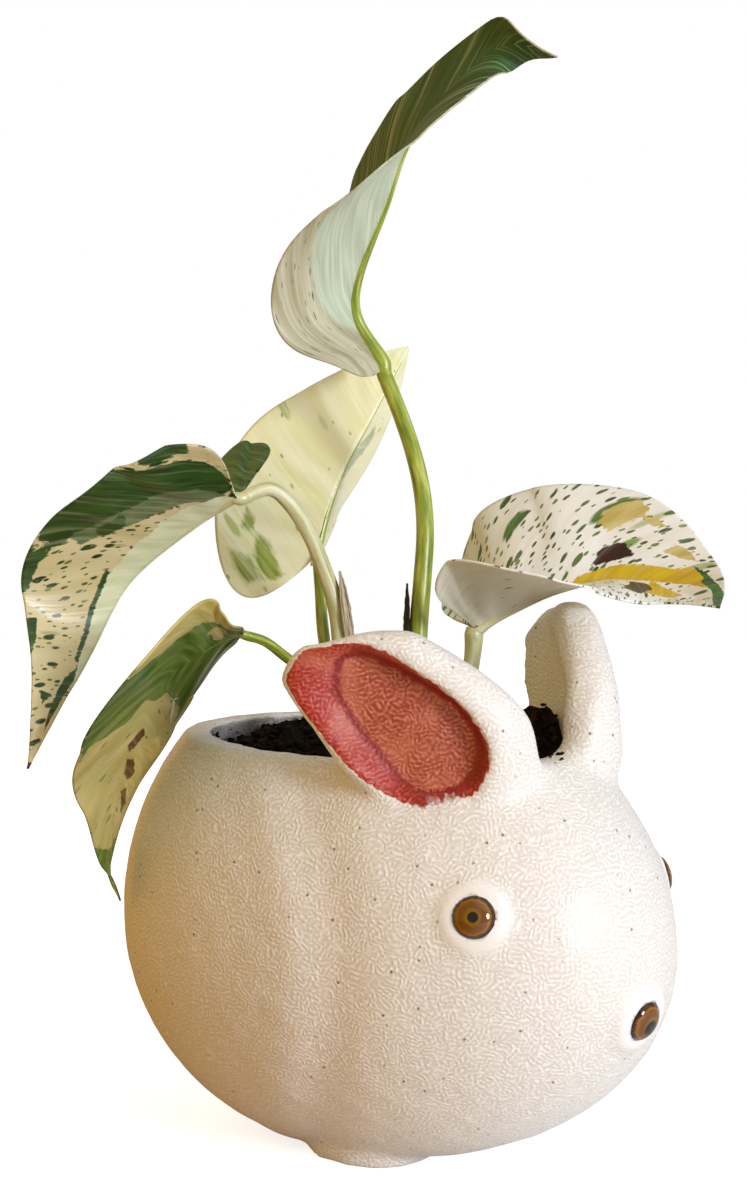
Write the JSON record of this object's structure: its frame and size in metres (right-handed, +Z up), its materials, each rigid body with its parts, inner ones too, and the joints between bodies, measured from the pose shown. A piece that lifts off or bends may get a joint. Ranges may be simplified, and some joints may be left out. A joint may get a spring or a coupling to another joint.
{
  "type": "potted pothos",
  "caption": "Marble pothos plant with arching variegated leaves in a white ceramic pot shaped like a sitting rabbit with glass eyes and nose.",
  "frame": {"origin": "on the ground, at the centre of the pot's flat base", "axes": "+Z up, -Y the way the rabbit faces, +X to the left side of the rabbit"},
  "size_m": [0.1354, 0.1603, 0.2759],
  "materials": {
    "ceramic": "matt white glaze over a finely dimpled surface, pink inside the ears",
    "glass_bead": "amber glass bead with a black pupil",
    "soil": null,
    "green_stem": null,
    "pale_stem": null,
    "variegated_leaf": null,
    "yellow_leaf": null,
    "green_leaf": null,
    "dry_sheath": "dry papery leaf sheath"
  },
  "bodies": {
    "root": {"pot": "ceramic", "eye_right": "glass_bead", "eye_left": "glass_bead", "nose_bead": "glass_bead", "soil": "soil", "vine_back": "green_stem", "vine_front": "green_stem", "blade_tall": "variegated_leaf", "petiole_tall": "green_stem", "blade_back": "yellow_leaf", "petiole_back": "green_stem", "blade_arching": "green_leaf", "petiole_arching": "pale_stem", "blade_low": "green_leaf", "petiole_low": "green_stem", "blade_right": "variegated_leaf", "petiole_right": "pale_stem", "sheath_tall": "dry_sheath", "sheath_arching": "dry_sheath"}
  },
  "joints": []
}
